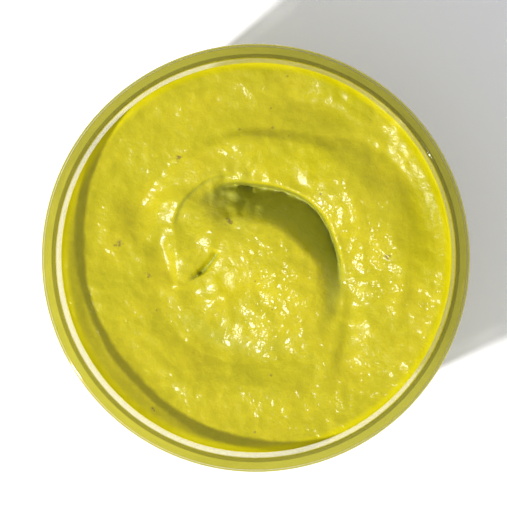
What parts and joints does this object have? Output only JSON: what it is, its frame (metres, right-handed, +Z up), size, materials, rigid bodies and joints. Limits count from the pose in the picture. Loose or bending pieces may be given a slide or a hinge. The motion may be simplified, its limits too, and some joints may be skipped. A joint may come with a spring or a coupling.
{
  "type": "green smoothie in a glass jar",
  "caption": "Small tapered clear glass jar with a wide flat rim, filled with thick green smoothie, its top stirred into a spoon-made spiral with a deep fold.",
  "frame": {"origin": "middle of the jar's base, on the surface that it stands on", "axes": "+Z up along the jar's axis; +X to the right and +Y to the top as seen from straight above, with the spoon's tongue on the -X side and the deep fold towards +X and +Y"},
  "size_m": [0.083, 0.083, 0.055],
  "materials": {
    "clear_glass": "clear, fire-polished, glossy",
    "green_smoothie": "wet, thick puree, yellow-green with a soft shine"
  },
  "bodies": {
    "root": {"glass_jar": "clear_glass", "smoothie": "green_smoothie"}
  },
  "joints": []
}
